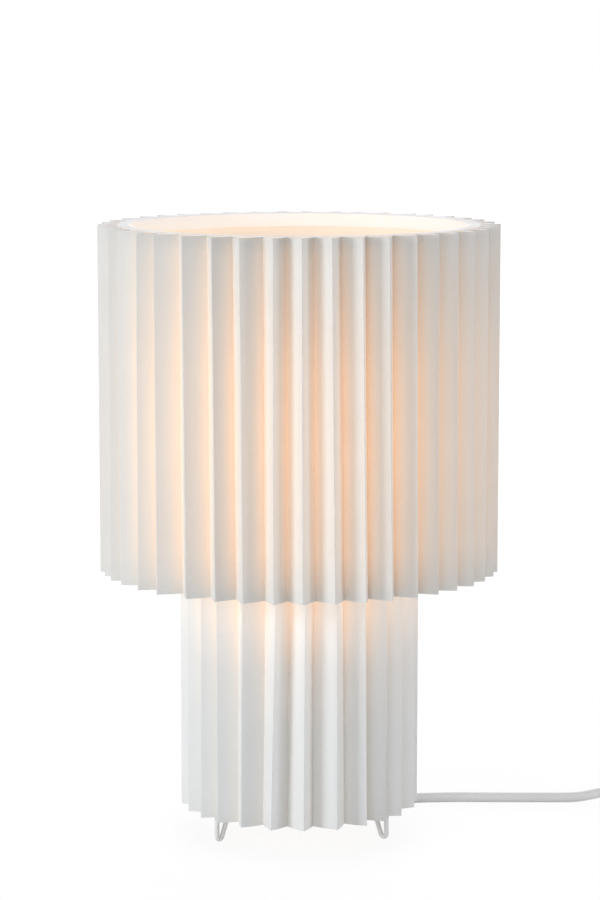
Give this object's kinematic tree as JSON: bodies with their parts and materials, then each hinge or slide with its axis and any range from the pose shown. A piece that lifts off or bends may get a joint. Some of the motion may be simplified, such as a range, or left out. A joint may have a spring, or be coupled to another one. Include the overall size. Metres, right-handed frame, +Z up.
{
  "type": "pleated paper table lamp",
  "caption": "Table lamp with a wide pleated paper drum shade over a narrow pleated drum base on hairpin wire feet, with a screw bulb, lead, inline switch and plug.",
  "frame": {"origin": "on the lamp's axis, on the surface that its feet stand on", "axes": "+Z up along the lamp's axis; the front that the picture shows is -Y; the lead leaves to +X"},
  "size_m": [0.5335, 0.2798, 0.4293],
  "materials": {
    "pleated_paper": "matte",
    "drum_liner": "satin",
    "hem_tape": "matte",
    "white_wire": "satin",
    "leg_wire": "gloss",
    "hub_steel": "satin",
    "zinc_steel": "satin",
    "white_plastic": "satin",
    "grip_nylon": "matte",
    "plug_plastic": "satin",
    "rocker_plastic": "gloss",
    "insert_ceramic": "matte",
    "contact_brass": "satin",
    "pin_metal": "polished",
    "lead_insulation": "satin",
    "textile_cord": "matte",
    "cap_metal": "satin",
    "bulb_glass_black": "gloss",
    "bulb_plastic": "satin",
    "bulb_board": "matte",
    "opal_globe": "satin"
  },
  "bodies": {
    "stand": {"leg_1": "leg_wire", "leg_2": "leg_wire", "leg_3": "leg_wire", "base_bottom_ring": "white_wire", "base_top_ring": "white_wire", "base_liner": "drum_liner", "base_pleats": "pleated_paper", "hub_plate": "hub_steel", "hub_washer": "zinc_steel", "hub_nut": "zinc_steel", "threaded_tube": "zinc_steel", "cord_grip": "grip_nylon", "cord_grip_screw": "grip_nylon", "holder_cap": "white_plastic", "holder_body": "white_plastic", "holder_insert": "insert_ceramic", "holder_screw_shell": "contact_brass", "holder_centre_contact": "contact_brass", "terminal_screws": "contact_brass", "inner_leads": "lead_insulation", "shade_ring_nut": "white_plastic", "cord_to_switch": "textile_cord", "switch_base": "white_plastic", "switch_cover": "white_plastic", "switch_screws": "zinc_steel", "switch_contacts": "contact_brass", "rocker_pin": "zinc_steel", "switch_relief_in": "grip_nylon", "switch_relief_out": "grip_nylon", "cord_to_coil": "textile_cord", "cord_coil": "textile_cord", "cord_to_plug": "textile_cord", "plug_body": "plug_plastic", "plug_pins": "pin_metal", "plug_relief": "grip_nylon"},
    "shade": {"shade_pleats": "pleated_paper", "shade_liner": "drum_liner", "shade_top_ring": "white_wire", "shade_bottom_ring": "white_wire", "shade_top_hem": "hem_tape", "shade_bottom_hem": "hem_tape", "spider_ring": "white_wire", "spider_arm_1": "white_wire", "spider_arm_2": "white_wire", "spider_arm_3": "white_wire"},
    "bulb_tip": {"bulb_contact": "contact_brass"},
    "bulb": {"bulb_insulator": "bulb_glass_black", "bulb_cap": "cap_metal", "bulb_housing": "bulb_plastic", "bulb_board": "bulb_board", "bulb_globe": "opal_globe"},
    "rocker": {"switch_rocker": "rocker_plastic"}
  },
  "joints": [
    {"name": "shade_turn", "type": "hinge", "parent": "stand", "child": "shade", "pos_m": [0, 0, 0.19025], "axis": [0, 0, 1], "continuous": true},
    {"name": "bulb_lift", "type": "slide", "parent": "stand", "child": "bulb_tip", "axis": [0, 0, 1], "range_m": [0, 0.01452]},
    {"name": "bulb_turn", "type": "hinge", "parent": "bulb_tip", "child": "bulb", "pos_m": [0, 0, 0.19015], "axis": [0, 0, 1], "range_deg": [0, 1440]},
    {"name": "rocker_tilt", "type": "hinge", "parent": "stand", "child": "rocker", "pos_m": [0.286, 0.067, 0.0125], "axis": [0, 1, 0], "range_deg": [-16, 0]}
  ],
  "couplings": [
    {"joint": "bulb_lift", "follows": "bulb_turn", "m_per_rad": 0.00057757}
  ]
}
